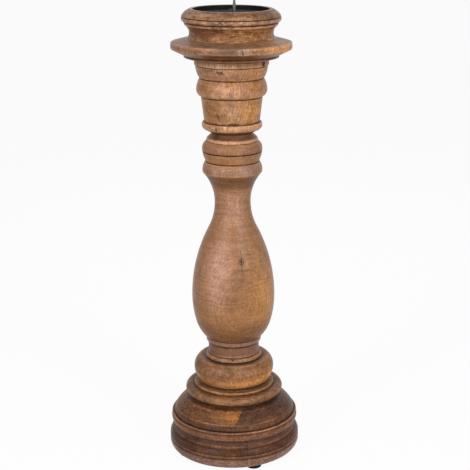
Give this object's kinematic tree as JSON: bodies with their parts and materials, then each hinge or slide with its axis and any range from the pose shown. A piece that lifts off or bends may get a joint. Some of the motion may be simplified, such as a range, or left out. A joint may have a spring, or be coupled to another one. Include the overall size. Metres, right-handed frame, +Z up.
{
  "type": "pricket candle stand",
  "caption": "Floor or table stand for a pillar candle: a turned wooden column on a glued-up round base, with a drip plate and a cup that holds a black pan and a spike.",
  "frame": {"origin": "on the floor, on the column's axis", "axes": "+Z up along the column, the pictured front faces -Y, +X to the viewer's right"},
  "size_m": [0.1792, 0.1792, 0.63],
  "materials": {
    "turned_wood": "satin stained and waxed, with turning marks",
    "base_wood": "satin stained and waxed, darker in the grooves",
    "dowel_wood": "raw",
    "black_steel": "satin black paint",
    "spike_steel": "dark, turned",
    "screw_steel": "zinc plated, dull",
    "foot_rubber": "matt"
  },
  "bodies": {
    "root": {"cup": "turned_wood", "drip_plate": "turned_wood", "capital": "turned_wood", "baluster": "turned_wood", "bun": "base_wood", "base_ring": "base_wood", "dome_board_left": "base_wood", "dome_board_middle": "base_wood", "dome_board_right": "base_wood", "plinth_board_left": "base_wood", "plinth_board_middle": "base_wood", "plinth_board_right": "base_wood", "neck_dowel": "dowel_wood", "candle_pan": "black_steel", "pricket": "spike_steel", "pan_screws": "screw_steel", "foot_screws": "screw_steel", "tie_screw": "screw_steel", "tie_washer": "screw_steel", "foot_front_right": "foot_rubber", "foot_front_left": "foot_rubber", "foot_back_left": "foot_rubber", "foot_back_right": "foot_rubber"}
  },
  "joints": []
}
